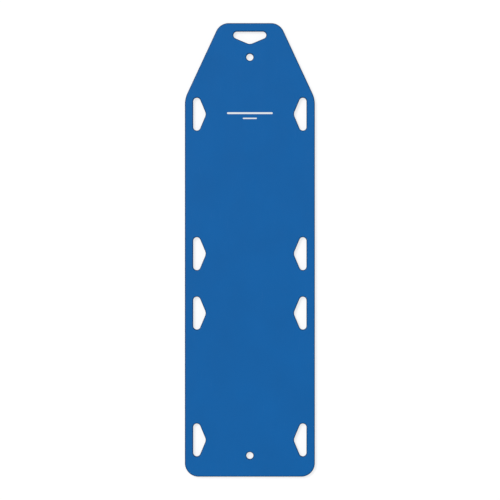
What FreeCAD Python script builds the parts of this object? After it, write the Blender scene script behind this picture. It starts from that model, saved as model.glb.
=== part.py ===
import FreeCAD, Part
import Sketcher
import math
import os

# A flat rescue board for carrying a person who is lying down, in millimetres.
#
# It is a sandwich panel routed to shape. Two solid plastic face sheets carry the whole outline, the
# nine grip openings and the two round tether holes, and their outer edges are chamfered. Between the
# sheets a foam core holds two lengthwise stiffening tubes. Solid strips close the core's edge all
# round, a solid block lines each grip opening and a round boss lines each tether hole.
#
# The origin is the middle of the underside, +Y runs to the head end and +Z is up.

doc = FreeCAD.newDocument("RescueBoard")
sheet = doc.addObject("Spreadsheet::Sheet", "Sizes")

SIZES = [
    ("board_length", 1745, "head edge to foot edge"),
    ("board_width", 500, "across the two straight sides"),
    ("board_thickness", 20, "underside to upper face"),
    ("head_width", 230, "head edge, between its sharp corners"),
    ("taper_length", 290, "head edge back to where the sides run straight"),
    ("head_corner_radius", 52, "round of the two head corners"),
    ("shoulder_radius", 104, "round where each taper meets its side"),
    ("foot_corner_radius", 52, "round of the two foot corners"),
    ("grip_length", 126.5, "grip opening, end to end"),
    ("grip_depth", 47.7, "grip opening, straight side to apex"),
    ("grip_end_radius", 14, "round at each end of a grip opening"),
    ("grip_apex_radius", 26, "round at the apex of a grip opening"),
    ("grip_bar", 32, "board's edge to the straight side of a grip opening"),
    ("shoulder_row", 350, "head edge to the middle of the shoulder grips"),
    ("waist_row", 887, "head edge to the middle of the waist grips"),
    ("thigh_row", 1116, "head edge to the middle of the thigh grips"),
    ("ankle_row", 141, "foot edge to the middle of the ankle grips"),
    ("tether_diameter", 27, "bore of the round holes"),
    ("head_tether_inset", 131, "head edge to the middle of the head hole"),
    ("foot_tether_inset", 81, "foot edge to the middle of the foot hole"),
    ("skin_thickness", 3, "each face sheet"),
    ("edge_chamfer", 2, "chamfer on every edge of the two outer faces"),
    ("fit_gap", 0.25, "bond line round every piece set between the sheets"),
    ("rim_width", 14, "edge strip, inwards from the board's edge"),
    ("head_rim_reach", 620, "head edge to the joint with the side strips"),
    ("foot_rim_reach", 380, "foot edge to the joint with the side strips"),
    ("block_wall", 15, "grip block beyond its opening, at the ends and the apex"),
    ("boss_wall", 12, "tether boss round its bore"),
    ("rail_spacing", 190, "between the middles of the two stiffening tubes"),
    ("rail_width", 25, "stiffening tube, across the board"),
    ("rail_wall", 2, "wall of a stiffening tube"),
    ("rail_corner_radius", 3, "outer round of a stiffening tube's corners"),
    ("rail_head_inset", 110, "head edge to the tubes' head ends"),
    ("rail_foot_inset", 40, "foot edge to the tubes' foot ends"),
]
for row, (alias, size, meaning) in enumerate(SIZES, start=1):
    sheet.set(f"A{row}", alias)
    sheet.set(f"B{row}", str(size))
    sheet.set(f"C{row}", meaning)
    sheet.setAlias(f"B{row}", alias)
doc.recompute()

# Sketcher's numbers for a curve's ends and centre, and for a sketch's own axes and origin.
START, END, CENTRE = range(1, 4)
X_AXIS, Y_AXIS = range(-1, -3, -1)
ORIGIN = (X_AXIS, START)

# Heights, lines and rows that several pieces share. TAPER is the lean of the tapered head edges.
TAPER = "atan((Sizes.board_width - Sizes.head_width) / 2 / Sizes.taper_length)"
CORE_DEPTH = "(Sizes.board_thickness - 2 * Sizes.skin_thickness)"
CORE_TOP = "(Sizes.board_thickness - Sizes.skin_thickness)"
CORE_INSET = "(Sizes.rim_width + Sizes.fit_gap)"
GRIP_LINE = "(Sizes.board_width / 2 - Sizes.grip_bar)"
GRIP_ROWS = {
    "shoulder": "(Sizes.board_length / 2 - Sizes.shoulder_row)",
    "waist": "(Sizes.board_length / 2 - Sizes.waist_row)",
    "thigh": "(Sizes.board_length / 2 - Sizes.thigh_row)",
    "ankle": "(Sizes.ankle_row - Sizes.board_length / 2)",
}
HEAD_GRIP_Y = "(Sizes.board_length / 2 - Sizes.grip_bar)"
HEAD_TETHER_Y = "(Sizes.board_length / 2 - Sizes.head_tether_inset)"
FOOT_TETHER_Y = "(Sizes.foot_tether_inset - Sizes.board_length / 2)"
HEAD_JOINT_Y = "(Sizes.board_length / 2 - Sizes.head_rim_reach)"
FOOT_JOINT_Y = "(Sizes.foot_rim_reach - Sizes.board_length / 2)"


def number(expression):
    """The value of an expression on the sizes."""
    return float(sheet.evalExpression(expression))


def new_body(label):
    body = doc.addObject("PartDesign::Body", label)
    body.Label = label
    return body


def origin_plane(body, role):
    return next(feature for feature in body.Origin.OriginFeatures if feature.Role == role)


def new_sketch(body, name, plane="XY_Plane", x="0", y="0", z="0", turn=0):
    """A sketch on one of the body's own planes, moved on it by x, y and z and turned by degrees."""
    sketch = body.newObject("Sketcher::SketchObject", f"{body.Name}_{name}")
    sketch.AttachmentSupport = [(origin_plane(body, plane), "")]
    sketch.MapMode = "FlatFace"
    sketch.AttachmentOffset = FreeCAD.Placement(
        FreeCAD.Vector(), FreeCAD.Rotation(FreeCAD.Vector(0, 0, 1), turn))
    for axis, offset in zip("xyz", (x, y, z)):
        sketch.setExpression(f"AttachmentOffset.Base.{axis}", offset)
    return sketch


def constrain(sketch, kind, *ends):
    return sketch.addConstraint(Sketcher.Constraint(kind, *ends))


def dimension(sketch, kind, *ends, size):
    """A driving dimension tied to the sizes."""
    index = constrain(sketch, kind, *ends, number(size))
    sketch.setExpression(f"Constraints[{index}]", size)


def draw_polygon(sketch, corners):
    """Closed lines through corners of (x, y, radius), where a radius of None stays sharp.

    Gives the first line's number and a (curve, end) reference to each corner. A rounded corner
    keeps its sharp point, so that dimensions run to the sharp corners, as on a drawing.
    """
    first = sketch.GeometryCount
    count = len(corners)
    points = [FreeCAD.Vector(number(x), number(y), 0) for x, y, radius in corners]
    for i in range(count):
        sketch.addGeometry(Part.LineSegment(points[i], points[(i + 1) % count]), False)
    for i in range(count):
        constrain(sketch, "Coincident", first + i, END, first + (i + 1) % count, START)
    marks = []
    arcs = []
    for i, (x, y, radius) in enumerate(corners):
        if radius is None:
            marks.append((first + i, START))
            continue
        arc = sketch.GeometryCount
        sketch.fillet(first + (i - 1) % count, END, number(radius), True, True)
        marks.append((arc + 1, START))
        arcs.append((arc, radius))
    for arc, radius in arcs:
        dimension(sketch, "Radius", arc, size=radius)
    return first, marks


def draw_rectangle(sketch, left, low, right, high, radius=None):
    """A rectangle from (left, low) to (right, high), its corners rounded to radius."""
    first, marks = draw_polygon(sketch, [
        (left, low, radius), (right, low, radius), (right, high, radius), (left, high, radius)])
    low_left, low_right, high_right, high_left = marks
    for line in (0, 2):
        constrain(sketch, "Horizontal", first + line)
    for line in (1, 3):
        constrain(sketch, "Vertical", first + line)
    dimension(sketch, "DistanceX", *ORIGIN, *low_left, size=left)
    dimension(sketch, "DistanceX", *ORIGIN, *high_right, size=right)
    dimension(sketch, "DistanceY", *ORIGIN, *low_left, size=low)
    dimension(sketch, "DistanceY", *ORIGIN, *high_right, size=high)


def draw_outline(sketch, inset):
    """The board's outline, drawn inside its edge by inset."""
    head_x = f"(Sizes.head_width / 2 - {inset} * tan(45 deg - {TAPER} / 2))"
    side_x = f"(Sizes.board_width / 2 - {inset})"
    end_y = f"(Sizes.board_length / 2 - {inset})"
    shoulder_y = f"(Sizes.board_length / 2 - Sizes.taper_length - {inset} * tan({TAPER} / 2))"
    head, shoulder, foot = (f"Sizes.{corner}_radius - {inset}"
                            for corner in ("head_corner", "shoulder", "foot_corner"))
    first, marks = draw_polygon(sketch, [
        (f"-{head_x}", end_y, head), (head_x, end_y, head),
        (side_x, shoulder_y, shoulder), (side_x, f"-{end_y}", foot),
        (f"-{side_x}", f"-{end_y}", foot), (f"-{side_x}", shoulder_y, shoulder)])
    head_left, head_right, shoulder_right, foot_right, foot_left, shoulder_left = marks
    constrain(sketch, "Symmetric", *head_left, *head_right, Y_AXIS)
    constrain(sketch, "Symmetric", *shoulder_left, *shoulder_right, Y_AXIS)
    constrain(sketch, "Symmetric", *foot_left, *foot_right, Y_AXIS)
    right_side = first + 2
    constrain(sketch, "Vertical", right_side)
    dimension(sketch, "DistanceX", *head_left, *head_right, size=f"2 * {head_x}")
    dimension(sketch, "DistanceX", *foot_left, *foot_right, size=f"2 * {side_x}")
    dimension(sketch, "DistanceY", *ORIGIN, *head_left, size=end_y)
    dimension(sketch, "DistanceY", *foot_right, *ORIGIN, size=end_y)
    dimension(sketch, "DistanceY", *ORIGIN, *shoulder_right, size=shoulder_y)


def draw_grip(sketch):
    """A grip opening: a rounded triangle, its straight side on the sketch's Y axis and its apex to +X."""
    end_radius = number("Sizes.grip_end_radius")
    apex_radius = number("Sizes.grip_apex_radius")
    end_y = number("Sizes.grip_length / 2") - end_radius
    apex_x = number("Sizes.grip_depth") - apex_radius
    run = math.hypot(apex_x - end_radius, end_y)
    lean = math.atan2(apex_x - end_radius, end_y) + math.asin((apex_radius - end_radius) / run)

    def arc(x, y, radius, start, stop):
        circle = Part.Circle(FreeCAD.Vector(x, y, 0), FreeCAD.Vector(0, 0, 1), radius)
        return sketch.addGeometry(Part.ArcOfCircle(circle, start, stop), False)

    upper = arc(end_radius, end_y, end_radius, lean, math.pi)
    lower = arc(end_radius, -end_y, end_radius, math.pi, 2 * math.pi - lean)
    apex = arc(apex_x, 0, apex_radius, -lean, lean)
    curves = sketch.Geometry
    for one, other in ((upper, lower), (lower, apex), (apex, upper)):
        line = sketch.addGeometry(
            Part.LineSegment(curves[one].EndPoint, curves[other].StartPoint), False)
        constrain(sketch, "Tangent", one, END, line, START)
        constrain(sketch, "Tangent", line, END, other, START)
    constrain(sketch, "Symmetric", upper, CENTRE, lower, CENTRE, X_AXIS)
    constrain(sketch, "PointOnObject", apex, CENTRE, X_AXIS)
    constrain(sketch, "Equal", upper, lower)
    dimension(sketch, "DistanceX", *ORIGIN, upper, CENTRE, size="Sizes.grip_end_radius")
    dimension(sketch, "DistanceX", *ORIGIN, apex, CENTRE, size="Sizes.grip_depth - Sizes.grip_apex_radius")
    dimension(sketch, "DistanceY", lower, CENTRE, upper, CENTRE,
              size="Sizes.grip_length - 2 * Sizes.grip_end_radius")
    dimension(sketch, "Radius", upper, size="Sizes.grip_end_radius")
    dimension(sketch, "Radius", apex, size="Sizes.grip_apex_radius")


def draw_block(sketch, margin):
    """A grip block's rectangle round draw_grip's opening, with a margin, and past the board's edge."""
    half = f"(Sizes.grip_length / 2 + Sizes.block_wall + {margin})"
    draw_rectangle(sketch, "-Sizes.grip_bar", f"-{half}",
                   f"(Sizes.grip_depth + Sizes.block_wall + {margin})", half)


def draw_circle(sketch, y, radius):
    """A circle centred on the sketch's Y axis."""
    centre = FreeCAD.Vector(0, number(y), 0)
    circle = sketch.addGeometry(Part.Circle(centre, FreeCAD.Vector(0, 0, 1), number(radius)), False)
    constrain(sketch, "PointOnObject", circle, CENTRE, Y_AXIS)
    dimension(sketch, "DistanceY", *ORIGIN, circle, CENTRE, size=y)
    dimension(sketch, "Radius", circle, size=radius)


def pad(body, sketch, length):
    feature = body.newObject("PartDesign::Pad", f"{sketch.Name}_pad")
    feature.Profile = sketch
    feature.setExpression("Length", length)
    sketch.Visibility = False
    doc.recompute()


def pocket(body, sketch):
    """Cuts the sketch down through all of the body below it."""
    before = body.Shape.Volume
    feature = body.newObject("PartDesign::Pocket", f"{sketch.Name}_cut")
    feature.Profile = sketch
    feature.Type = "ThroughAll"
    sketch.Visibility = False
    doc.recompute()
    if not body.Shape.Volume < before:
        raise RuntimeError(f"{sketch.Name} cut nothing")
    return feature


def chamfer_face(body, pick):
    """Chamfers every edge of the body's highest or lowest face, as pick is max or min."""
    base = body.Tip
    face = pick(base.Shape.Faces, key=lambda side: side.CenterOfMass.z)
    feature = body.newObject("PartDesign::Chamfer", f"{body.Name}_edge_chamfer")
    feature.Base = (base, [f"Edge{i}" for i, edge in enumerate(base.Shape.Edges, start=1)
                           if any(edge.isSame(side) for side in face.Edges)])
    feature.setExpression("Size", "Sizes.edge_chamfer")
    doc.recompute()


def cut_grips(body, top, draw):
    """Cuts what draw draws at all nine grips, down from the height top."""
    left = []
    for name, row_y in GRIP_ROWS.items():
        sketch = new_sketch(body, f"left_{name}_grip", x=f"-{GRIP_LINE}", y=row_y, z=top)
        draw(sketch)
        left.append(pocket(body, sketch))
    mirror = body.newObject("PartDesign::Mirrored", f"{body.Name}_right_grips")
    mirror.Originals = left
    mirror.MirrorPlane = (origin_plane(body, "YZ_Plane"), [""])
    body.Tip = mirror
    doc.recompute()
    head = new_sketch(body, "head_grip", y=HEAD_GRIP_Y, z=top, turn=-90)
    draw(head)
    pocket(body, head)


def cut_tethers(body, top, radius):
    """Cuts the two round holes down from the height top."""
    sketch = new_sketch(body, "tether_holes", z=top)
    draw_circle(sketch, HEAD_TETHER_Y, radius)
    draw_circle(sketch, FOOT_TETHER_Y, radius)
    pocket(body, sketch)


def make_skin(label, underside, pick_outer):
    """A face sheet with the board's whole outline and all its openings."""
    body = new_body(label)
    top = f"({underside} + Sizes.skin_thickness)"
    sketch = new_sketch(body, "outline", z=underside)
    draw_outline(sketch, "0")
    pad(body, sketch, "Sizes.skin_thickness")
    cut_grips(body, top, draw_grip)
    cut_tethers(body, top, "Sizes.tether_diameter / 2")
    chamfer_face(body, pick_outer)


def make_core(label):
    """The foam sheet, with notches for the grip blocks, holes for the bosses and slots for the tubes."""
    body = new_body(label)
    sketch = new_sketch(body, "outline", z="Sizes.skin_thickness")
    draw_outline(sketch, CORE_INSET)
    pad(body, sketch, CORE_DEPTH)
    cut_grips(body, CORE_TOP, lambda notch: draw_block(notch, "Sizes.fit_gap"))
    cut_tethers(body, CORE_TOP, "Sizes.tether_diameter / 2 + Sizes.boss_wall + Sizes.fit_gap")
    for side, sign in (("left", "-"), ("right", "")):
        slot = new_sketch(body, f"{side}_rail_slot", x=f"{sign}Sizes.rail_spacing / 2", z=CORE_TOP)
        half = "(Sizes.rail_width / 2 + Sizes.fit_gap)"
        draw_rectangle(slot, f"-{half}", "(Sizes.rail_foot_inset - Sizes.board_length / 2 - Sizes.fit_gap)",
                       half, "(Sizes.board_length / 2 - Sizes.rail_head_inset + Sizes.fit_gap)")
        pocket(body, slot)


def make_rail(label, sign):
    """A pultruded box tube that runs along the board and touches both sheets."""
    body = new_body(label)
    sketch = new_sketch(body, "section", plane="XZ_Plane", z="Sizes.board_length / 2 - Sizes.rail_foot_inset")
    for wall in ("0", "Sizes.rail_wall"):
        half = f"(Sizes.rail_width / 2 - {wall})"
        draw_rectangle(sketch, f"-{half}", wall, half, f"({CORE_DEPTH} - {wall})",
                       f"Sizes.rail_corner_radius - {wall}")
    tube = body.newObject("PartDesign::Pad", f"{label}_pad")
    tube.Profile = sketch
    tube.Reversed = True
    tube.setExpression("Length", "Sizes.board_length - Sizes.rail_head_inset - Sizes.rail_foot_inset")
    sketch.Visibility = False
    body.setExpression("Placement.Base.x", f"{sign}Sizes.rail_spacing / 2")
    body.setExpression("Placement.Base.z", "Sizes.skin_thickness")


def make_end_rim(label, saw_low, saw_high):
    """The strip round one end: a ring along the outline, sawn off between two heights in Y."""
    body = new_body(label)
    ring = new_sketch(body, "ring", z="Sizes.skin_thickness")
    draw_outline(ring, "0")
    draw_outline(ring, "Sizes.rim_width")
    pad(body, ring, CORE_DEPTH)
    saw = new_sketch(body, "saw", z=CORE_TOP)
    draw_rectangle(saw, "-Sizes.board_width", saw_low, "Sizes.board_width", saw_high)
    pocket(body, saw)


def make_side_rim(label, left, right):
    """The straight strip between the two end strips, from left to right in X."""
    body = new_body(label)
    sketch = new_sketch(body, "strip", z="Sizes.skin_thickness")
    draw_rectangle(sketch, left, f"({FOOT_JOINT_Y} + Sizes.fit_gap)",
                   right, f"({HEAD_JOINT_Y} - Sizes.fit_gap)")
    pad(body, sketch, CORE_DEPTH)


def make_grip_block(label, x, y, turn):
    """A solid block round one grip opening, sawn along the inside of the edge strip."""
    body = new_body(label)
    blank = new_sketch(body, "blank", x=x, y=y, z="Sizes.skin_thickness", turn=turn)
    draw_block(blank, "0")
    pad(body, blank, CORE_DEPTH)
    saw = new_sketch(body, "saw", z=CORE_TOP)
    draw_outline(saw, CORE_INSET)
    draw_rectangle(saw, "-Sizes.board_width", "-Sizes.board_length", "Sizes.board_width", "Sizes.board_length")
    pocket(body, saw)
    opening = new_sketch(body, "opening", x=x, y=y, z=CORE_TOP, turn=turn)
    draw_grip(opening)
    pocket(body, opening)


def make_tether_boss(label, y):
    """A round boss that lines one tether hole between the sheets."""
    body = new_body(label)
    sketch = new_sketch(body, "section", z="Sizes.skin_thickness")
    draw_circle(sketch, y, "Sizes.tether_diameter / 2")
    draw_circle(sketch, y, "(Sizes.tether_diameter / 2 + Sizes.boss_wall)")
    pad(body, sketch, CORE_DEPTH)


make_skin("top_skin", CORE_TOP, max)
make_skin("bottom_skin", "0", min)
make_core("foam_core")
make_rail("left_rail", "-")
make_rail("right_rail", "")
make_end_rim("head_rim", "-Sizes.board_length", HEAD_JOINT_Y)
make_end_rim("foot_rim", FOOT_JOINT_Y, "Sizes.board_length")
make_side_rim("left_rim", "-Sizes.board_width / 2", "(Sizes.rim_width - Sizes.board_width / 2)")
make_side_rim("right_rim", "(Sizes.board_width / 2 - Sizes.rim_width)", "Sizes.board_width / 2")
make_grip_block("head_grip_block", "0", HEAD_GRIP_Y, -90)
for row_name, row_y in GRIP_ROWS.items():
    make_grip_block(f"left_{row_name}_grip_block", f"-{GRIP_LINE}", row_y, 0)
    make_grip_block(f"right_{row_name}_grip_block", GRIP_LINE, row_y, 180)
make_tether_boss("head_tether_boss", HEAD_TETHER_Y)
make_tether_boss("foot_tether_boss", FOOT_TETHER_Y)
doc.recompute()

failed = [item.Label for item in doc.Objects if {"Invalid", "Error"} & set(item.State)]
if failed:
    raise RuntimeError(f"these objects failed: {failed}")
bodies = [item for item in doc.Objects if item.TypeId == "PartDesign::Body"]
for body in bodies:
    shape = body.Shape
    if shape.isNull() or not shape.isValid() or len(shape.Solids) != 1:
        raise RuntimeError(f"{body.Label} is not one valid solid")

os.makedirs("parts", exist_ok=True)
for body in bodies:
    body.Shape.exportStep(f"parts/{body.Label}.step")
    print(f"{body.Label}: {body.Shape.Volume / 1000:.2f} cm3")
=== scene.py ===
# %% [markdown]
# # A blue spine board
#
# A spine board is a stiff, flat board that a casualty is lifted and carried on. This one is built as
# a sandwich: two solid plastic face sheets, a foam core with two stiffening tubes, a solid strip all
# round the edge and a solid block round each hand opening. Seen from above it is one blue shape with
# nine hand openings and two round holes, so its looks come from a true outline, softly rounded
# edges and a plastic that looks rolled, grained and cut. A picture from above shows only the upper
# face. What lies under it here is one sound way to build such a board, not a record of one.
#
# The CAD model already holds every piece at its real size. This lesson loads it as a fixed frame,
# then gives each piece that can be seen a finer mesh in the same place, and each one a material.

import collections
import math

import bmesh
import bpy
from mathutils import Matrix, Vector


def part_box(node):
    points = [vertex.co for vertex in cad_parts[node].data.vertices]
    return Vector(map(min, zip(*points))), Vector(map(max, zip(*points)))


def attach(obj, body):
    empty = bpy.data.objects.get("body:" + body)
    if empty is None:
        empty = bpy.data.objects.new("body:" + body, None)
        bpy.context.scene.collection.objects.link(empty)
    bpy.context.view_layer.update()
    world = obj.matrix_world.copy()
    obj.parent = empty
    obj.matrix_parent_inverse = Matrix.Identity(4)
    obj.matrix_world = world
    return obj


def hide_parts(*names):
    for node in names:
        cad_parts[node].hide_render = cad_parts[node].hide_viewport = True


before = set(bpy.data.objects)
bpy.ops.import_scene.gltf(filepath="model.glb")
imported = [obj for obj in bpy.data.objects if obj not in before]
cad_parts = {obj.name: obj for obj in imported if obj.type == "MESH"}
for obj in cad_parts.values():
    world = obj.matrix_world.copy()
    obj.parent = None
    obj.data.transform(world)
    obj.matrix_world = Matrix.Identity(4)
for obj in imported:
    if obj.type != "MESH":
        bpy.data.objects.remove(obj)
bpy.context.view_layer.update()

# %% [markdown]
# ## Sizes
#
# Lengths are in metres, so a size known in millimetres is written as a number times MM. Whatever the
# CAD pieces' boxes can tell is read from them, and only the curves that a box can't tell, such as
# the corner radii, are named again here.

# %% Name the sizes
MM = 0.001
UP = Vector((0, 0, 1))

sheet_low, sheet_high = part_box("top_skin")
core_low, core_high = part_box("foam_core")
HALF_WIDTH = sheet_high.x
HALF_LENGTH = sheet_high.y
TOP = sheet_high.z
SHEET = sheet_high.z - sheet_low.z

HEAD_WIDTH = 230 * MM
TAPER_LENGTH = 290 * MM
HEAD_CORNER = 52 * MM
SHOULDER_CORNER = 104 * MM
FOOT_CORNER = 52 * MM
TETHER_RADIUS = 13.5 * MM
STRIP_WIDTH = 14 * MM
SEAM = 0.3 * MM
print("board:", 2 * HALF_WIDTH, "by", 2 * HALF_LENGTH, "by", TOP, "sheet:", SHEET)

# %% [markdown]
# ## Camera
#
# The board is seen from straight above, like a drawing: nothing in the picture leans or shrinks
# with distance. A long lens from far away gives that, and it stays a perspective camera, so that
# other views of the board look natural. Its distance follows from how much must fit in the picture,
# whose middle falls half a millimetre beside the board's.

# %% Place the camera
PICTURE_SIDE = 1.9235
PICTURE_MIDDLE = (0.55 * MM, -0.45 * MM)
LENS = 200
SENSOR = 36

camera = bpy.data.objects.new("camera", bpy.data.cameras.new("camera"))
camera.data.lens = LENS
camera.data.sensor_width = SENSOR
camera.location = (*PICTURE_MIDDLE, TOP + PICTURE_SIDE * LENS / SENSOR)
camera.data.clip_end = 100
bpy.context.scene.collection.objects.link(camera)
bpy.context.scene.camera = camera
bpy.context.scene.view_settings.view_transform = "Standard"
print("camera height:", round(camera.location.z, 3))

# %% [markdown]
# ## Writing shaders as sums
#
# A material is a web of small nodes. Wiring every multiplication by hand hides what it does, so one
# small class wraps a node's output. Arithmetic on it adds Math nodes, and its node method adds any
# other kind: its settings are set first, then its inputs get numbers, colours or other outputs.

# %% Wrap a node's output
class Wire:
    """An output of a shader node, on which arithmetic adds Math nodes."""

    def __init__(self, tree, output=None):
        self.tree = tree
        self.output = output

    def node(self, kind, settings, inputs, output=0):
        """Adds a node to the same tree and gives the named or numbered output."""
        added = self.tree.nodes.new(kind)
        for name, setting in settings.items():
            setattr(added, name, setting)
        for name, value in inputs.items():
            socket = self.pick(added.inputs, name)
            if isinstance(value, Wire):
                self.tree.links.new(value.output, socket)
            else:
                socket.default_value = value
        return Wire(self.tree, self.pick(added.outputs, output) if added.outputs else None)

    @staticmethod
    def pick(sockets, name):
        """The socket with that number, or the one in use with that name."""
        if isinstance(name, int):
            return sockets[name]
        return next(socket for socket in sockets if socket.name == name and socket.enabled)

    def maths(self, operation, first, second=0):
        return self.node("ShaderNodeMath", {"operation": operation}, {0: first, 1: second})

    def __add__(self, other):
        return self.maths("ADD", self, other)

    def __radd__(self, other):
        return self.maths("ADD", other, self)

    def __sub__(self, other):
        return self.maths("SUBTRACT", self, other)

    def __rsub__(self, other):
        return self.maths("SUBTRACT", other, self)

    def __mul__(self, other):
        return self.maths("MULTIPLY", self, other)

    def __rmul__(self, other):
        return self.maths("MULTIPLY", other, self)

    def __pow__(self, power):
        return self.maths("POWER", self, power)

    def __abs__(self):
        return self.maths("ABSOLUTE", self)


print("shader helper:", Wire.__name__)

# %% [markdown]
# ## Light and floor
#
# A catalogue picture of such a board is lit softly from everywhere, so the light is mostly an even
# white sky, with a wide soft sun from the upper left that tells the edges apart. Together they
# light a level surface at about one, so that a colour comes out as it is written.
#
# The background is white. The sky is white to the camera and to reflections, where a Light Path
# node says which ray is asking, and dimmer as a lamp. The floor does the same: part of its
# brightness is real, and takes the board's shadow, and part is a glow that only the camera sees.

# %% Make the sky and the sun
SKY_LEVEL = 0.55
SUN_LEVEL = 0.45
SUN_HEIGHT = math.radians(60)
SUN_TURN = math.radians(40)
SUN_WIDTH = math.radians(20)


def seen_directly(wire):
    """One for rays from the camera and for reflected and refracted ones, else zero."""
    path = [wire.node("ShaderNodeLightPath", {}, {}, name)
            for name in ("Is Camera Ray", "Is Glossy Ray", "Is Transmission Ray")]
    return wire.maths("MAXIMUM", wire.maths("MAXIMUM", path[0], path[1]), path[2])


def make_sky():
    world = bpy.data.worlds.new("sky")
    world.use_nodes = True
    world.node_tree.nodes.clear()
    wire = Wire(world.node_tree)
    lamp = wire.node("ShaderNodeBackground", {}, {"Color": (1, 1, 1, 1), "Strength": SKY_LEVEL})
    backdrop = wire.node("ShaderNodeBackground", {}, {"Color": (1, 1, 1, 1), "Strength": 1})
    both = wire.node("ShaderNodeMixShader", {}, {0: seen_directly(wire), 1: lamp, 2: backdrop})
    wire.node("ShaderNodeOutputWorld", {}, {"Surface": both})
    bpy.context.scene.world = world


def make_sun():
    sun = bpy.data.objects.new("sun", bpy.data.lights.new("sun", "SUN"))
    sun.data.energy = SUN_LEVEL * math.pi / math.sin(SUN_HEIGHT)
    sun.data.angle = SUN_WIDTH
    sun.rotation_euler = (0, math.pi / 2 - SUN_HEIGHT, math.pi - SUN_TURN)
    bpy.context.scene.collection.objects.link(sun)


make_sky()
make_sun()
print("sky and sun:", SKY_LEVEL, SUN_LEVEL)

# %% [markdown]
# The floor is one large plain square just under the board. It reaches far enough to fill the
# picture when the board is seen from low down.

# %% Make the floor
FLOOR_REACH = 60
FLOOR_DROP = 0.2 * MM
FLOOR_WHITE = 0.3
FLOOR_GLOW = 0.73


def make_floor():
    shape = bmesh.new()
    bmesh.ops.create_grid(shape, size=FLOOR_REACH, matrix=Matrix.Translation((0, 0, -FLOOR_DROP)))
    mesh = bpy.data.meshes.new("floor")
    shape.to_mesh(mesh)
    shape.free()
    floor = bpy.data.objects.new("floor", mesh)
    bpy.context.scene.collection.objects.link(floor)

    paint = bpy.data.materials.new("pale floor")
    paint.use_nodes = True
    paint.node_tree.nodes.clear()
    wire = Wire(paint.node_tree)
    matt = wire.node("ShaderNodeBsdfDiffuse", {}, {"Color": (FLOOR_WHITE,) * 3 + (1,)})
    glow = wire.node("ShaderNodeEmission", {}, {"Strength": FLOOR_GLOW})
    lit = wire.node("ShaderNodeAddShader", {}, {0: matt, 1: glow})
    both = wire.node("ShaderNodeMixShader", {}, {0: seen_directly(wire), 1: matt, 2: lit})
    wire.node("ShaderNodeOutputMaterial", {}, {"Surface": both})
    mesh.materials.append(paint)
    return floor


make_floor()
print("floor level:", -FLOOR_DROP)

# %% [markdown]
# ## Outlines made of corners
#
# The board's outline, a hand opening and a grip block are all the same kind of shape: straight
# sides joined by round corners. Such a shape is only a list of corners, each with a centre, a
# radius, the angle at which it starts and the angle that it turns through. Moving an edge into the
# material then needs no new drawing. Every centre stays and every radius changes by the same amount.

# %% Turn sharp corners into rounds
Corner = collections.namedtuple("Corner", "x y radius start turn")


def round_corners(points):
    """Rounds the sharp (x, y, radius) corners of a shape that is listed counter-clockwise."""
    rounds = []
    for before, (x, y, radius), after in zip(points[-1:] + points, points, points[1:] + points[:1]):
        coming = math.atan2(y - before[1], x - before[0])
        turn = (math.atan2(after[1] - y, after[0] - x) - coming) % math.tau
        inward = coming + turn / 2 + math.pi / 2
        reach = radius / math.cos(turn / 2)
        rounds.append(Corner(x + reach * math.cos(inward), y + reach * math.sin(inward),
                             radius, coming - math.pi / 2, turn))
    return rounds


def place(corners, x, y, turn=0):
    """The same corners, turned about the origin and then moved."""
    cosine, sine = math.cos(turn), math.sin(turn)
    return [Corner(x + corner.x * cosine - corner.y * sine, y + corner.x * sine + corner.y * cosine,
                   corner.radius, corner.start + turn, corner.turn) for corner in corners]


def board_outline():
    """The board's edge, counter-clockwise from the right foot corner."""
    shoulder = HALF_LENGTH - TAPER_LENGTH
    right = [(HALF_WIDTH, -HALF_LENGTH, FOOT_CORNER),
             (HALF_WIDTH, shoulder, SHOULDER_CORNER),
             (HEAD_WIDTH / 2, HALF_LENGTH, HEAD_CORNER)]
    left = [(-x, y, radius) for x, y, radius in reversed(right)]
    return round_corners(right + left)


OUTLINE = board_outline()
print("outline corners:", [(round(c.x, 3), round(c.y, 3), round(math.degrees(c.turn), 1)) for c in OUTLINE])

# %% [markdown]
# ## The hand openings
#
# A hand opening is a rounded triangle: straight along the bar that the hand grips, with its apex
# towards the middle of the board to make room for knuckles. It is drawn once, with its straight
# side on the Y axis, and placed nine times. Where each one goes is read from its block in the CAD
# model: blocks sit centred on their openings along the edge, whatever side they are on.

# %% Draw an opening and find the nine places
GRIP_LENGTH = 126.5 * MM
GRIP_DEPTH = 47.7 * MM
GRIP_END = 14 * MM
GRIP_APEX = 26 * MM
GRIP_BAR = 32 * MM


def grip_outline():
    """A hand opening with its straight side on the Y axis and its apex towards +X."""
    side = GRIP_LENGTH / 2 - GRIP_END
    apex = GRIP_DEPTH - GRIP_APEX
    run = math.hypot(apex - GRIP_END, side)
    lean = math.atan2(apex - GRIP_END, side) + math.asin((GRIP_APEX - GRIP_END) / run)
    return [Corner(apex, 0, GRIP_APEX, -lean, 2 * lean),
            Corner(GRIP_END, side, GRIP_END, lean, math.pi - lean),
            Corner(GRIP_END, -side, GRIP_END, math.pi, math.pi - lean)]


def grip_place(block):
    """The x, y and turn that put grip_outline where this CAD block has its opening."""
    low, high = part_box(block)
    middle = (low + high) / 2
    if block.startswith("head"):
        return 0, HALF_LENGTH - GRIP_BAR, -math.pi / 2
    if block.startswith("left"):
        return GRIP_BAR - HALF_WIDTH, middle.y, 0
    return HALF_WIDTH - GRIP_BAR, middle.y, math.pi


GRIPS = {}
for block in sorted(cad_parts):
    if block.endswith("_grip_block"):
        GRIPS[block] = place(grip_outline(), *grip_place(block))
print("openings:", len(GRIPS))

# %% [markdown]
# ## Sweeping a section
#
# Such a board is cut out by a router that runs once round every edge, so each edge has the same
# section all the way. The mesh is made as the router works. The section is drawn as a chain of short
# edges, from one face of the piece to the other, spun round every corner's centre, and bridged along
# the straight sides between. That puts detail only where the edge curves, and no vertex is wasted on
# a straight side.

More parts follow.
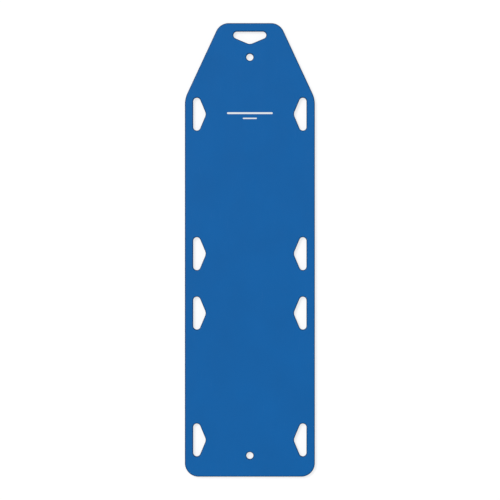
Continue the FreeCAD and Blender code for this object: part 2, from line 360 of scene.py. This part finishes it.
# %% Sweep a section round a shape
CHORD_ERROR = 0.02 * MM


def arc_steps(corner):
    """Enough steps that no chord of the corner strays from its arc by more than CHORD_ERROR."""
    return math.ceil(corner.turn / (2 * math.acos(1 - CHORD_ERROR / corner.radius)))


def sweep(shape, corners, section, growth, closed=False):
    """Carries a section of (depth, height) points round a shape.

    Depth runs into the material. It makes the radii smaller where the material is inside the
    shape, with a growth of -1, and larger round an opening, with a growth of 1.
    """
    ends = []
    for corner in corners:
        points = []
        for depth, height in section:
            reach = corner.radius + growth * depth
            points.append(shape.verts.new((corner.x + reach * math.cos(corner.start),
                                           corner.y + reach * math.sin(corner.start), height)))
        following = points[1:] + points[:1] if closed else points[1:]
        chain = [shape.edges.new(pair) for pair in zip(points, following)]
        spun = bmesh.ops.spin(shape, geom=points + chain, cent=(corner.x, corner.y, 0), axis=UP,
                              angle=corner.turn, steps=arc_steps(corner), use_merge=len(corners) == 1)
        last = [part for part in spun["geom_last"] if isinstance(part, bmesh.types.BMEdge)]
        ends.append((chain, last))
    if len(corners) > 1:
        for (first, last), (next_first, _) in zip(ends, ends[1:] + ends[:1]):
            bmesh.ops.bridge_loops(shape, edges=last + next_first)


print("steps per outline corner:", [arc_steps(corner) for corner in OUTLINE])

# %% [markdown]
# A flat face closes the piece between the outer wall and the walls of its openings. The open edges
# at that height are exactly its border, and a triangle fill keeps the holes that lie inside it.
#
# A finished piece is shaded smooth, with its true corners marked sharp by their angle, and it rides
# on the board's one body in place of its CAD piece.

# %% Close the flat faces and finish a piece
TOUCHING = 0.001 * MM
SHARP = math.radians(30)
PIECES = collections.defaultdict(list)


def fill_flat(shape, height):
    """Fills between all the open edges at one height."""
    border = [edge for edge in shape.edges if edge.is_boundary
              and all(abs(vert.co.z - height) < TOUCHING for vert in edge.verts)]
    bmesh.ops.triangle_fill(shape, edges=border, use_beauty=True, use_dissolve=False)


def finish_piece(shape, name, slot, node):
    """Turns the shape into an object that stands for a CAD node and waits for its slot's material."""
    bmesh.ops.remove_doubles(shape, verts=shape.verts, dist=TOUCHING)
    bmesh.ops.recalc_face_normals(shape, faces=shape.faces)
    for face in shape.faces:
        face.smooth = True
    open_edges = sum(edge.is_boundary for edge in shape.edges)
    mesh = bpy.data.meshes.new(name)
    shape.to_mesh(mesh)
    shape.free()
    mesh.set_sharp_from_angle(angle=SHARP)
    piece = bpy.data.objects.new(name, mesh)
    bpy.context.scene.collection.objects.link(piece)
    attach(piece, "root")
    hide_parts(node)
    PIECES[slot].append(piece)
    print(f"{name}: {len(mesh.polygons)} faces, {open_edges} open edges")


print("sharp above", round(math.degrees(SHARP)), "degrees")

# %% [markdown]
# ## Face sheets
#
# The two face sheets are the board's skin and nearly all that can be seen. Each is a thin plastic
# plate with the whole outline, and its outer edge is crowned wherever a hand or a strap can touch
# it: round the board, round every hand opening and round the two tether holes. The crown is a
# quarter of an ellipse, wider than it is deep. A picture from above can't tell an edge's section, so
# this one is a guess, chosen to be kind to hands.
#
# The crown could be a Bevel modifier, but on a face that is cut into triangles a bevel pinches where
# the triangles meet its border. Here the crown is part of the swept section instead. A narrow flat
# band follows it, so that the shading of the crown doesn't leak into the big flat face. A fine cut
# at the inner edge leaves a hair-thin groove where the sheet is glued down.

# %% Make the two sheets
CROWN_DROP = 2.5 * MM
CROWN_REACH = 4.5 * MM
CROWN_STEPS = 8
FLAT_BAND = 0.5 * MM


def tether_outline(boss):
    """The round hole through this CAD boss, as a single corner that turns all the way."""
    low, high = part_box(boss)
    middle = (low + high) / 2
    wall = high.x - TETHER_RADIUS
    print(boss, "wall:", round(wall / MM, 2), "mm")
    return [Corner(middle.x, middle.y, TETHER_RADIUS, 0, math.tau)]


def sheet_section():
    """The edge of the upper sheet, from its glued face to its outer face."""
    section = [(SEAM, TOP - SHEET)]
    for step in range(CROWN_STEPS + 1):
        angle = math.pi / 2 * step / CROWN_STEPS
        section.append((CROWN_REACH * (1 - math.cos(angle)), TOP - CROWN_DROP * (1 - math.sin(angle))))
    section.append((CROWN_REACH + FLAT_BAND, TOP))
    return section


def make_sheet(name, node):
    shape = bmesh.new()
    sweep(shape, OUTLINE, sheet_section(), -1)
    for corners in list(GRIPS.values()) + list(TETHERS.values()):
        sweep(shape, corners, sheet_section(), 1)
    fill_flat(shape, TOP)
    fill_flat(shape, TOP - SHEET)
    if name == "bottom_sheet":
        bmesh.ops.scale(shape, vec=(1, 1, -1), verts=shape.verts)
        bmesh.ops.translate(shape, vec=(0, 0, TOP), verts=shape.verts)
    finish_piece(shape, name, "sheet", node)


TETHERS = {boss: tether_outline(boss) for boss in ("head_tether_boss", "foot_tether_boss")}
make_sheet("top_sheet", "top_skin")
make_sheet("bottom_sheet", "bottom_skin")

# %% [markdown]
# ## Edge strips
#
# Between the sheets, a solid strip closes the foam all round: one strip bent round each end and a
# straight one along each side. The four have one section, so the whole ring is swept once for each
# strip and sawn across where the strips meet, and the cut ends are filled.

# %% Make the four edge strips
def strip_section():
    """A closed rectangle with its two outer edges just broken."""
    return [(SEAM, core_low.z), (0, core_low.z + SEAM), (0, core_high.z - SEAM), (SEAM, core_high.z),
            (STRIP_WIDTH, core_high.z), (STRIP_WIDTH, core_low.z)]


def saw(shape, point, away):
    """Cuts everything off beyond a plane, on the side that away points to, and fills the cut."""
    cut = bmesh.ops.bisect_plane(shape, geom=shape.verts[:] + shape.edges[:] + shape.faces[:],
                                 plane_co=point, plane_no=away, clear_outer=True)
    edges = [part for part in cut["geom_cut"] if isinstance(part, bmesh.types.BMEdge)]
    bmesh.ops.edgeloop_fill(shape, edges=edges)


def make_strip(node, cuts):
    shape = bmesh.new()
    sweep(shape, OUTLINE, strip_section(), -1, closed=True)
    for point, away in cuts:
        saw(shape, point, away)
    finish_piece(shape, node.replace("rim", "strip"), "solid", node)


ALONG = Vector((0, 1, 0))
ACROSS = Vector((1, 0, 0))
make_strip("head_rim", [(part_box("head_rim")[0], -ALONG)])
make_strip("foot_rim", [(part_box("foot_rim")[1], ALONG)])
for node, middle in (("left_rim", ACROSS), ("right_rim", -ACROSS)):
    low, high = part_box(node)
    make_strip(node, [(low, -ALONG), (high, ALONG), (Vector(), middle)])

# %% [markdown]
# ## Grip blocks and bosses
#
# A hand opening cut through foam would tear, so a solid block sits round each one and its cut wall
# is what the fingers feel. A round boss does the same for each tether hole. Both are a short wall
# round the hole, a wall outside and two flat faces. The outside of a block is a plain rectangle in
# the foam, except at the shoulders, where it follows the bend of the edge strip.

# %% Make the grip blocks and the bosses
HIDDEN_ROUND = 1 * MM


def wall_section():
    """A plain wall between the sheets, with both edges just broken."""
    return [(SEAM, core_low.z), (0, core_low.z + SEAM), (0, core_high.z - SEAM), (SEAM, core_high.z)]


def block_outline(block):
    """The outside of a grip block, counter-clockwise."""
    low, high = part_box(block)
    points = [(low.x, low.y, HIDDEN_ROUND), (high.x, low.y, HIDDEN_ROUND),
              (high.x, high.y, HIDDEN_ROUND), (low.x, high.y, HIDDEN_ROUND)]
    if "shoulder" in block:
        points = follow_the_bend(points, low, high)
    return round_corners(points)


def follow_the_bend(points, low, high):
    """Takes the outer head corner off a shoulder block, along the board's tapered edge."""
    lean = math.atan2(HALF_WIDTH - HEAD_WIDTH / 2, TAPER_LENGTH)
    inset = HALF_WIDTH - max(-low.x, high.x)
    bend_y = HALF_LENGTH - TAPER_LENGTH - inset * math.tan(lean / 2)
    bend = (HALF_WIDTH - inset, bend_y, SHOULDER_CORNER - inset)
    end = (HALF_WIDTH - inset - (high.y - bend_y) * math.tan(lean), high.y, HIDDEN_ROUND)
    if high.x > 0:
        return points[:2] + [bend, end] + points[3:]
    return points[:3] + [(-end[0],) + end[1:], (-bend[0],) + bend[1:]]


def make_lining(node, inside, outside):
    shape = bmesh.new()
    sweep(shape, inside, wall_section(), 1)
    sweep(shape, outside, wall_section(), -1)
    fill_flat(shape, core_low.z)
    fill_flat(shape, core_high.z)
    finish_piece(shape, node.replace("block", "insert").replace("boss", "bush"), "solid", node)


for block, corners in GRIPS.items():
    make_lining(block, corners, block_outline(block))
for boss, (hole,) in TETHERS.items():
    outer_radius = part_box(boss)[1].x
    make_lining(boss, [hole], [hole._replace(radius=outer_radius)])

# %% [markdown]
# ## Material tools
#
# Every material here is mixed from the same few things: a place on the object in metres, noise at a
# scale that can be read as a real size, and masks that run softly from zero to one. The helpers
# below are those things. A noise's scale is given as the size of its features, so that it can be
# compared with the real grain, and stretching a noise is done by giving each axis its own size.

# %% Name the material tools
def start_material(name):
    material = bpy.data.materials.new(name)
    material.use_nodes = True
    material.node_tree.nodes.clear()
    return material, Wire(material.node_tree)


def position(wire):
    """Where the surface is, in metres, in the board's own axes."""
    return wire.node("ShaderNodeTexCoord", {}, {}, "Object")


def axis(place, name):
    return place.node("ShaderNodeSeparateXYZ", {}, {"Vector": place}, name)


def noise(place, size, detail=2.0, shift=0.0):
    """Noise from 0 to 1 with features of that size, a number or one for each axis."""
    sizes = size if isinstance(size, tuple) else (size,) * 3
    scaled = place.node("ShaderNodeMapping", {}, {
        "Vector": place, "Location": (shift,) * 3, "Scale": tuple(1 / side for side in sizes)})
    return place.node("ShaderNodeTexNoise", {}, {"Vector": scaled, "Scale": 1.0, "Detail": detail})


def cells(place, size):
    """Soft pebbles of that size, 0 in their middles."""
    return place.node("ShaderNodeTexVoronoi", {"feature": "SMOOTH_F1"}, {
        "Vector": place, "Scale": 1 / size, "Smoothness": 0.6})


def ramp(value, low, high):
    """Runs softly from 0 at low to 1 at high, or the other way where low is above high."""
    return value.node("ShaderNodeMapRange", {"interpolation_type": "SMOOTHSTEP"}, {
        "Value": value, "From Min": low, "From Max": high})


def blend(factor, first, second):
    """The first colour where factor is 0 and the second where it is 1."""
    return factor.node("ShaderNodeMix", {"data_type": "RGBA"}, {
        "Factor": factor, "A": first, "B": second}, "Result")


def finish_material(wire, colour, roughness, relief, specular):
    """Ends a material in a plastic whose relief is in millimetres."""
    normal = wire.node("ShaderNodeBump", {}, {"Height": relief, "Strength": 1.0, "Distance": MM})
    plastic = wire.node("ShaderNodeBsdfPrincipled", {}, {
        "Base Color": colour, "Roughness": roughness, "Normal": normal, "Specular IOR Level": specular})
    wire.node("ShaderNodeOutputMaterial", {}, {"Surface": plastic})


def dress(pieces, material):
    for piece in pieces:
        piece.data.materials.append(material)
    print(material.name, "on", len(pieces), "pieces,", len(material.node_tree.nodes), "nodes")


# %% [markdown]
# ## Sheet plastic
#
# The face sheets are extruded plastic, coloured right through. The roller that cools the sheet
# presses a fine pebble grain into it, a fifth of a millimetre high, which makes it matt and easy to
# hold. Drawing the sheet out of its die also leaves flow lines, two or three centimetres wide and
# very long. They only show in the way the board shines when it is seen from low down. The picture is
# too small to show any of this, so it is set from what such plastic is often like.
#
# Where something is done to the sheet, a mask says so. A mask is worked out from the place alone:
#
# - rolled: the sheet is at its full height, so it has its grain. The crown is cut and has none.
# - polished: further out than the hand openings' bars begin, where hands rub the grain down.
# - scratches: noise that is stretched along the board, since it is slid lengthwise, and cut off so
#   - rolled: the sheet is at its full height, so it has its grain. The crown is cut and has none, and is
#     painted a darker shade.
# - glue line: the two heights where a sheet meets what it is glued to.
# - printed bar: nearer to a short line than half the bar's height, which gives it round ends.

# %% Find the places where the sheet differs
GRAIN_ENDS = 0.20 * MM
GRAIN_FULL = 0.02 * MM
POLISH_FADE = 20 * MM
SCRATCH_WIDTH = 0.9 * MM
SCRATCH_LEAN = math.radians(4)
SCRATCH_STARTS = 0.74
SCRATCH_FULL = 0.80
GLUE_REACH = 0.40 * MM
GLUE_CORE = 0.15 * MM
INK_BLUR = 0.15 * MM


def rolled_face(place):
    """One on the grained faces of the sheets, and zero on their cut edges."""
    height = abs(axis(place, "Z") - TOP / 2)
    return ramp(height, TOP / 2 - GRAIN_ENDS, TOP / 2 - GRAIN_FULL)


def polished_bars(place):
    """One on the bars between the hand openings and the board's two long edges."""
    bar_starts = HALF_WIDTH - GRIP_BAR
    return ramp(abs(axis(place, "X")), bar_starts - POLISH_FADE, bar_starts)


def scratches(place, reach, lean, shift, share):
    """Thin scratches along Y, about as long as their reach. The share is how much is scratched."""
    leaning = place.node("ShaderNodeVectorRotate", {"rotation_type": "Z_AXIS"}, {
        "Vector": place, "Angle": lean})
    threads = noise(leaning, (SCRATCH_WIDTH, reach, 1), detail=1.0, shift=shift)
    return ramp(threads, SCRATCH_STARTS - share, SCRATCH_FULL - share)


def glue_line(place):
    """One along the two heights where a sheet is glued down."""
    off_middle = abs(axis(place, "Z") - TOP / 2)
    return ramp(abs(off_middle - (TOP / 2 - SHEET)), GLUE_REACH, GLUE_CORE)


def printed_bar(place, y, half_length, half_height):
    """One inside a bar with round ends, printed across the middle of the deck."""
    past_end = place.maths("MAXIMUM", abs(axis(place, "X")) - (half_length - half_height))
    off_line = axis(place, "Y") - y
    distance = (past_end * past_end + off_line * off_line) ** 0.5
    return ramp(distance, half_height + INK_BLUR, half_height - INK_BLUR)


print("bars start", round((HALF_WIDTH - GRIP_BAR) / MM), "mm from the middle")

# %% [markdown]
# The masks then choose between colours, and add to one roughness and one height. The crown is given
# a deeper blue than the face, which is painted shade: real plastic has one colour all through, and
# from above it makes the thin dark line that the picture has along every edge. On the face, each
# pebble is a little brighter than the valleys round it, whose darker blue is painted shade, and the whole
# drifts from place to place.
# The underside lies on the ground, so it gets more scratches than the deck. The deck gets two plain
# white bars near its head, whose ink is thinner where the grain is rough.

# %% Mix the sheet plastic
DEEP_BLUE = (0.0005, 0.091, 0.302, 1)
BRIGHT_BLUE = (0.0011, 0.127, 0.418, 1)
SCRATCHED_BLUE = (0.10, 0.24, 0.52, 1)
PAINTED_EDGE_SHADE_BLUE = (0.0005, 0.050, 0.155, 1)
GLUE_BLUE = (0.003, 0.030, 0.085, 1)
INK_WHITE = (0.78, 0.80, 0.82, 1)
GRAIN_SIZE = 1.5 * MM
GRAIN_HEIGHT = 0.24
FINE_SIZE = 0.5 * MM
CLOUD_SIZE = 160 * MM
FLOW_SIZE = (28 * MM, 700 * MM, 1)
FLOW_HEIGHT = 0.25
LONG_SCRATCH = 140 * MM
SHORT_SCRATCH = 60 * MM
SCRATCH_DEPTH = 0.03
SCRATCHED_CLOUD = (0.40, 0.62)
INK_TAKES = (0.18, 0.30)
SHEET_SHINE = 0.11
CUT_ROUGHNESS = 0.34
ROLLED_ROUGHNESS = 0.46
DECK_WEAR = 0.0
UNDERSIDE_WEAR = 0.05


def sheet_plastic(name, wear, bars):
    material, wire = start_material(name)
    place = position(wire)
    rolled = rolled_face(place)
    pebbles = cells(place, GRAIN_SIZE)
    fine = noise(place, FINE_SIZE)
    flow = noise(place, FLOW_SIZE, shift=4)
    cloud = noise(place, CLOUD_SIZE, detail=3.0)
    worn = (scratches(place, LONG_SCRATCH, SCRATCH_LEAN, 3, wear)
            + scratches(place, SHORT_SCRATCH, -SCRATCH_LEAN, 8, wear))
    worn = ramp(worn, 0, 1) * rolled * ramp(cloud, *SCRATCHED_CLOUD)

    # The 1 - pebbles term paints shade into the valleys between the pebbles, so their middles come out
    # brighter; the cloud and fine terms are the plastic's own tone.
    colour = blend(0.5 * cloud + 0.2 * fine + 0.3 * (1 - pebbles), DEEP_BLUE, BRIGHT_BLUE)
    # Painted shade: the crown gets a darker blue than the face, a dark line along every edge.
    colour = blend(rolled, PAINTED_EDGE_SHADE_BLUE, colour)
    colour = blend(0.35 * worn, colour, SCRATCHED_BLUE)
    colour = blend(glue_line(place), colour, GLUE_BLUE)

    roughness = CUT_ROUGHNESS + (ROLLED_ROUGHNESS - CUT_ROUGHNESS) * rolled
    roughness = roughness + 0.16 * (flow - 0.5) + 0.12 * (cloud - 0.5) + 0.08 * (fine - 0.5)
    roughness = roughness + 0.10 * worn - 0.06 * polished_bars(place)
    relief = rolled * (GRAIN_HEIGHT * (fine - pebbles) - SCRATCH_DEPTH * worn) + FLOW_HEIGHT * flow
    for y, half_length, half_height in bars:
        ink = printed_bar(place, y, half_length, half_height) * ramp(fine, *INK_TAKES)
        colour = blend(ink, colour, INK_WHITE)
        roughness = roughness - 0.08 * ink
    finish_material(wire, colour, roughness, relief, SHEET_SHINE)
    return material


PRINTED_BARS = [(526 * MM, 88 * MM, 3.5 * MM), (506 * MM, 27 * MM, 2.5 * MM)]
deck, underside = PIECES["sheet"]
dress([deck], sheet_plastic("deck plastic", DECK_WEAR, PRINTED_BARS))
dress([underside], sheet_plastic("underside plastic", UNDERSIDE_WEAR, []))

# %% [markdown]
# ## Cut plastic
#
# The strips, inserts and bushes show only where the router cut them: round the board's edge and
# inside every opening. A straight cutter leaves a fine upright ripple, one scallop for every pass of
# a blade. Its noise is therefore narrow across the board and long in Z, and this reads as upright
# streaks on any wall, whichever way it faces. Two passes at different depths leave a faint line
# part of the way down. Cut plastic has nearly the blue of a rolled face, streaked with the ripple.

# %% Mix the cut plastic
CUT_BLUE = (0.0010, 0.095, 0.315, 1)
PALE_CUT_BLUE = (0.0040, 0.125, 0.385, 1)
PASS_HEIGHT = 0.45 * TOP
PASS_LINE = 0.25 * MM
RIPPLE_SIZE = (1.3 * MM, 1.3 * MM, 60 * MM)
FLUTTER_SIZE = (9 * MM, 9 * MM, 200 * MM)
CUT_CLOUD_SIZE = 90 * MM
CUT_SHINE = 0.2


def cut_plastic(name):
    material, wire = start_material(name)
    place = position(wire)
    ripple = noise(place, RIPPLE_SIZE, detail=3.0)
    flutter = noise(place, FLUTTER_SIZE, detail=1.0, shift=5)
    step = ramp(abs(axis(place, "Z") - PASS_HEIGHT), PASS_LINE, 0)
    cloud = noise(place, CUT_CLOUD_SIZE)

    colour = blend(0.5 * ripple + 0.3 * flutter + 0.2 * cloud, CUT_BLUE, PALE_CUT_BLUE)
    colour = blend(glue_line(place), colour, GLUE_BLUE)
    roughness = 0.48 + 0.14 * (ripple - 0.5) + 0.10 * (cloud - 0.5)
    relief = 0.05 * ripple + 0.04 * flutter - 0.04 * step
    finish_material(wire, colour, roughness, relief, CUT_SHINE)
    return material


dress(PIECES["solid"], cut_plastic("cut plastic"))

# %% [markdown]
# ## Foam and glass fibre
#
# The foam core and the two stiffening tubes are sealed in between the sheets. Their CAD shapes are
# right as they are, so those nodes stay and only get a finish. The foam is cream, dull and full of
# cells under a millimetre across. The tubes are pulled from glass fibre and resin, so everything on
# them runs along Y: long pale streaks under a clear, slightly green skin.

# %% Finish the foam and the tubes
FOAM_CREAM = (0.90, 0.86, 0.74, 1)
FOAM_SHADOW = (0.66, 0.60, 0.46, 1)
RESIN_GREEN = (0.42, 0.44, 0.26, 1)
STRAND_YELLOW = (0.74, 0.72, 0.52, 1)
BUBBLE_SIZE = 0.8 * MM
FOAM_CLOUD_SIZE = 60 * MM
STRAND_SIZE = (0.7 * MM, 260 * MM, 0.7 * MM)
BUNDLE_SIZE = (8 * MM, 400 * MM, 8 * MM)
FOAM_SHINE = 0.3
RESIN_SHINE = 0.5


def foam(name):
    material, wire = start_material(name)
    place = position(wire)
    bubbles = cells(place, BUBBLE_SIZE)
    cloud = noise(place, FOAM_CLOUD_SIZE, detail=3.0)
    colour = blend(0.7 * bubbles + 0.3 * cloud, FOAM_CREAM, FOAM_SHADOW)
    finish_material(wire, colour, 0.85 + 0.1 * (cloud - 0.5), 0.25 * bubbles, FOAM_SHINE)
    return material


def glass_fibre(name):
    material, wire = start_material(name)
    place = position(wire)
    strands = noise(place, STRAND_SIZE, detail=3.0)
    bundles = noise(place, BUNDLE_SIZE, shift=2)
    colour = blend(0.65 * strands + 0.35 * bundles, RESIN_GREEN, STRAND_YELLOW)
    finish_material(wire, colour, 0.30 + 0.15 * (strands - 0.5), 0.03 * strands, RESIN_SHINE)
    return material


def refinish(nodes, material):
    """Gives CAD nodes that stay in the scene a better material."""
    for name in nodes:
        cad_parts[name].material_slots[0].material = material
    print(material.name, "on", nodes)


refinish(["foam_core"], foam("closed cell foam"))
refinish(["left_rail", "right_rail"], glass_fibre("glass fibre"))
